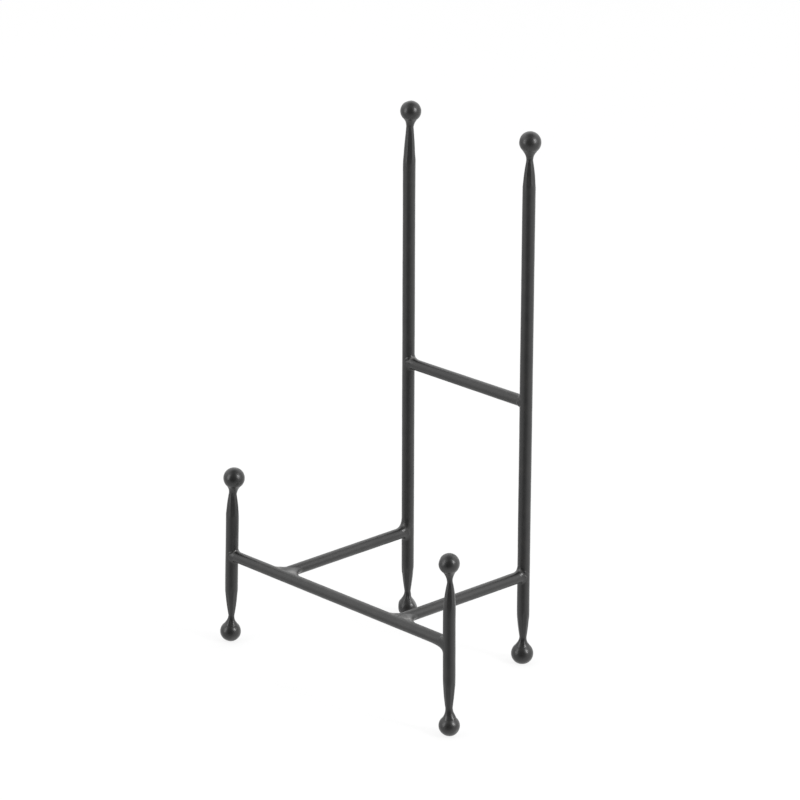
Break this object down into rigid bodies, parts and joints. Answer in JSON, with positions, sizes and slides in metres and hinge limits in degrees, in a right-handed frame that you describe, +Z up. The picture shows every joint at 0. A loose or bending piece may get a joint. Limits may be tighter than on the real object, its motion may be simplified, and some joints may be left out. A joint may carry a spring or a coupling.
{
  "type": "plate display stand",
  "caption": "Upright display stand for a plate: round-rod posts with ball ends, tied by welded rails, in black-coated iron.",
  "frame": {"origin": "on the floor, midway between the front posts in X and between the front and rear posts in Y", "axes": "+Z up; the front of the stand, with the low posts, faces -Y; +X to the right as seen from the front"},
  "size_m": [0.1875, 0.1103, 0.3056],
  "materials": {
    "rod_coat": "satin",
    "ball_coat": "satin",
    "weld_coat": "satin"
  },
  "bodies": {
    "root": {"rear_left_post": "rod_coat", "rear_right_post": "rod_coat", "front_left_post": "rod_coat", "front_right_post": "rod_coat", "front_rail": "rod_coat", "upper_rail": "rod_coat", "side_rail_left": "rod_coat", "side_rail_right": "rod_coat", "rear_left_top_ball": "ball_coat", "rear_left_foot_ball": "ball_coat", "rear_right_top_ball": "ball_coat", "rear_right_foot_ball": "ball_coat", "front_left_top_ball": "ball_coat", "front_left_foot_ball": "ball_coat", "front_right_top_ball": "ball_coat", "front_right_foot_ball": "ball_coat", "rear_left_top_neck_weld": "weld_coat", "rear_left_foot_neck_weld": "weld_coat", "rear_right_top_neck_weld": "weld_coat", "rear_right_foot_neck_weld": "weld_coat", "front_left_top_neck_weld": "weld_coat", "front_left_foot_neck_weld": "weld_coat", "front_right_top_neck_weld": "weld_coat", "front_right_foot_neck_weld": "weld_coat", "front_rail_left_weld": "weld_coat", "front_rail_right_weld": "weld_coat", "upper_rail_left_weld": "weld_coat", "upper_rail_right_weld": "weld_coat", "side_rail_left_front_weld": "weld_coat", "side_rail_left_rear_weld": "weld_coat", "side_rail_right_front_weld": "weld_coat", "side_rail_right_rear_weld": "weld_coat"}
  },
  "joints": []
}
